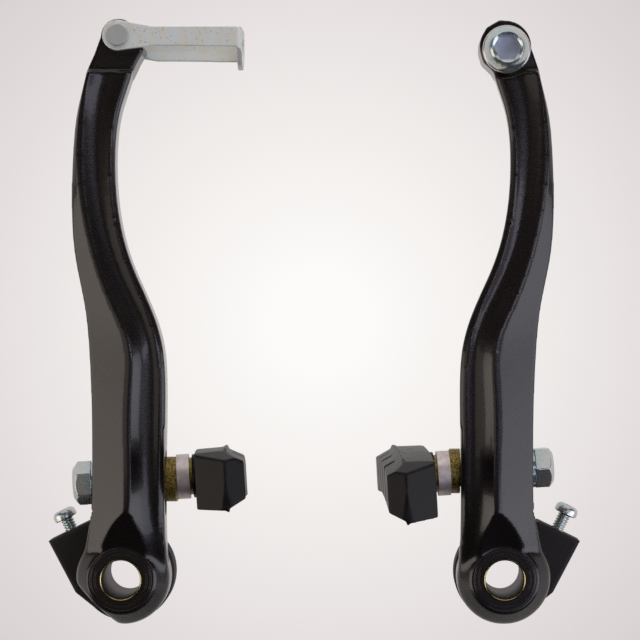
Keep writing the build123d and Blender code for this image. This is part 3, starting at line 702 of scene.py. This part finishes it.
# %% Press
def pressed_recess(shape, corners, height, depth, narrowing, edge_round):
    """Fills the open top of a turned head down to those corners, and sinks a recess there."""
    rim = [edge for edge in shape.edges if edge.is_boundary]
    points = [shape.verts.new((x, y, height)) for x, y in corners]
    outline = [shape.edges.new(pair) for pair in zip(points, points[1:] + points[:1])]
    bmesh.ops.triangle_fill(shape, edges=rim + outline, use_beauty=True)
    sunk = bmesh.ops.extrude_edge_only(shape, edges=outline)["geom"]
    low_points = [part for part in sunk if isinstance(part, bmesh.types.BMVert)]
    low_edges = [part for part in sunk if isinstance(part, bmesh.types.BMEdge)]
    walls = [part for part in sunk if isinstance(part, bmesh.types.BMFace)]
    bmesh.ops.scale(shape, vec=(narrowing, narrowing, 1), verts=low_points)
    bmesh.ops.translate(shape, vec=(0, 0, -depth), verts=low_points)
    low_rim = [edge for edge in low_edges if edge.is_boundary]
    bottom = bmesh.ops.edgeloop_fill(shape, edges=low_rim)["faces"]
    # The punch leaves a shallow cone at the bottom.
    poked = bmesh.ops.poke(shape, faces=bottom)
    bmesh.ops.translate(shape, vec=(0, 0, -0.25 * depth), verts=poked["verts"])
    for face in poked["faces"] + walls:
        face.material_index = 1  # the second finish, for the recess
    bmesh.ops.bevel(
        shape,
        geom=outline,
        offset=edge_round,
        segments=2,
        profile=0.5,
        affect="EDGES",
        material=-1,
    )


# %% Die
def threaded(shape, crest_r, root_r, pitch, start, end, steps=36):
    """Adds a closed helical thread along Z between two heights."""
    # One tooth's outline is (radius, share of the pitch) from root to root. Teeth to
    # spare at both ends leave something to cut flat.
    tooth_form = ((root_r, 0.0), (crest_r, 0.4), (crest_r, 0.55), (root_r, 0.95))
    spare_teeth = 3
    thread = bmesh.new()
    points = []
    for tooth in range(math.ceil((end - start) / pitch) + spare_teeth):
        foot = start + (tooth - spare_teeth / 2) * pitch
        for radius, share in tooth_form:
            points.append(thread.verts.new((radius, 0, foot + share * pitch)))
    edges = [thread.edges.new(pair) for pair in zip(points, points[1:])]
    bmesh.ops.spin(
        thread,
        geom=points + edges,
        axis=(0, 0, 1),
        dvec=(0, 0, pitch / steps),
        angle=math.tau,
        steps=steps,
    )
    bmesh.ops.remove_doubles(thread, verts=thread.verts, dist=weld)
    for height, outward in ((start, -1), (end, 1)):
        bmesh.ops.bisect_plane(
            thread,
            geom=thread.verts[:] + thread.edges[:] + thread.faces[:],
            plane_co=(0, 0, height),
            plane_no=(0, 0, outward),
            clear_outer=True,
        )
    bmesh.ops.edgeloop_fill(thread, edges=[edge for edge in thread.edges if edge.is_boundary])
    loose = bpy.data.meshes.new("thread")
    thread.to_mesh(loose)
    thread.free()
    shape.from_mesh(loose)
    bpy.data.meshes.remove(loose)


# %% From the bench to its place
sharp_from = math.radians(35)
towards_viewer = Matrix.Rotation(math.radians(90), 4, "X")


def set_in_place(shape, node, place, finishes):
    """Scales a bmesh to metres and puts it in its place, to stand for a node."""
    bmesh.ops.transform(shape, matrix=place @ Matrix.Scale(MM, 4), verts=shape.verts)
    bmesh.ops.recalc_face_normals(shape, faces=shape.faces)
    for face in shape.faces:
        face.smooth = True
    for edge in shape.edges:
        edge.smooth = edge.calc_face_angle(0.0) < sharp_from
    mesh = bpy.data.meshes.new(node + "_turned")
    shape.to_mesh(mesh)
    shape.free()
    for finish in finishes:
        mesh.materials.append(finish)
    piece = bpy.data.objects.new(node + "_turned", mesh)
    bpy.context.scene.collection.objects.link(piece)
    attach(piece, frame["nodes"][node]["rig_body"])
    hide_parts(node)
    print(node, "turned:", len(mesh.polygons), "faces")


# %% Spring tension screws
head_top = 4.6
pan_head = [
    (0, 2.55), (2.3, 2.55), (2.5, 2.75), (2.5, 3.45),
    (2.42, 3.9), (2.2, 4.25), (1.88, 4.5), (1.6, head_top),
]
tip, half = 1.45, 0.45  # the cross recess's length from the middle and half its slot
cross = [(tip, half), (half, half), (half, tip), (-half, tip), (-half, half), (-tip, half)]
cross += [(-x, -y) for x, y in cross]
casing_slope = math.radians(26)
seat_x, seat_y, seat_z = 52.126, -3.2, 9.080
for side, sign, backed_off in (("left", -1, 0.0), ("right", 1, 1.1)):
    screw = bmesh.new()
    turned(screw, pan_head)
    pressed_recess(screw, cross, height=head_top, depth=1.0, narrowing=0.7, edge_round=0.06)
    threaded(screw, crest_r=1.4, root_r=1.1, pitch=0.6, start=-5.4, end=2.7)
    lean = Matrix.Rotation(sign * casing_slope, 4, "Y")
    climb = Matrix.Translation((0, 0, backed_off * MM))
    seat = Matrix.Translation(Vector((sign * seat_x, seat_y, seat_z)) * MM)
    finishes = (bright_zinc, recess_zinc)
    set_in_place(screw, side + "_tension_screw", seat @ lean @ climb, finishes)

# %% Bushes with a chamfered lip, and the boss faces with their rings
bore_r, outer_r, lip_height = 4.03, 4.33, 17.5
bush_wall = [
    (bore_r, 0.12), (bore_r, 17.27), (4.16, 17.46), (4.24, lip_height), (outer_r, 17.38),
    (outer_r, 0.12), (4.25, 0), (4.11, 0), (bore_r, 0.12),
]
face_height, skirt_height, groove_half = 17.22, 16.4, 0.17
face_profile = [(4.38, skirt_height), (4.38, 17.12), (4.46, face_height)]
for groove_r in (5.45, 6.3):
    inner, outer = groove_r - groove_half, groove_r + groove_half
    face_profile += [(inner, face_height), (groove_r, 17.1), (outer, face_height)]
face_profile += [
    (6.82, face_height), (6.94, 17.18), (7.5, 16.53), (7.2, skirt_height), (4.38, skirt_height)
]
for side, sign in (("left", -1), ("right", 1)):
    on_boss = Matrix.Translation(Vector((sign * BOSS_X, 0, 0)) * MM) @ towards_viewer
    bush = bmesh.new()
    turned(bush, bush_wall)
    set_in_place(bush, side + "_bush", on_boss, (brass,))
    boss_face = bmesh.new()
    turned(boss_face, face_profile, steps=96)
    set_in_place(boss_face, side + "_arm", on_boss, (paint,))

# %% Cable anchor bolt
shank_and_flange = [
    (0, 6.9), (2.95, 6.9), (2.95, 17.45), (4.75, 17.45), (5.0, 17.6), (5.0, 18.1), (4.85, 18.4),
]
domed_head = [
    (4.7, 18.5), (4.66, 19.1), (4.52, 19.75), (4.29, 20.4), (3.97, 20.98), (3.6, 21.45),
    (3.175, 21.85),
]
socket_width = 5.0
socket_r = socket_width / math.sqrt(3)
turns = [k * math.pi / 3 for k in range(6)]
hexagon = [(socket_r * math.cos(turn), socket_r * math.sin(turn)) for turn in turns]
anchor = bmesh.new()
turned(anchor, shank_and_flange + domed_head)
pressed_recess(anchor, hexagon, height=21.5, depth=2.2, narrowing=0.97, edge_round=0.1)
threaded(anchor, crest_r=3.0, root_r=2.55, pitch=1.0, start=5.4, end=7.1)
on_head = Matrix.Translation(Vector((40.3, 0, 110.4)) * MM) @ towards_viewer
set_in_place(anchor, "anchor_bolt", on_head, (bright_zinc, recess_zinc))

# %% [markdown]
# ## Finishes on the solids that stay
#
# Washers, spacers, studs, springs and pins are turned, pressed or wound, and
# their CAD shapes are right as they are, so only their finish changes. A node's
# name is its side or place and then its kind, and the kind gives the finish.

# %% Assign finishes
kept_finishes = {
    "return_spring": spring_steel,
    "casing_pin": bright_zinc,
    "inner_convex_washer": chromate,
    "outer_convex_washer": chromate,
    "inner_cup_washer": cup_nickel,
    "outer_cup_washer": bright_zinc,
    "inner_spacer": chromate,
    "pad_stud": bright_zinc,
    "washer": chromate,
    "rivet": rivet_zinc,
}
for name, node in frame["nodes"].items():
    kind = name.split("_", 1)[1]
    if kind in kept_finishes and not node.hide_render:
        node.data.materials.clear()
        node.data.materials.append(kept_finishes[kind])
        print(name, "->", kept_finishes[kind].name)
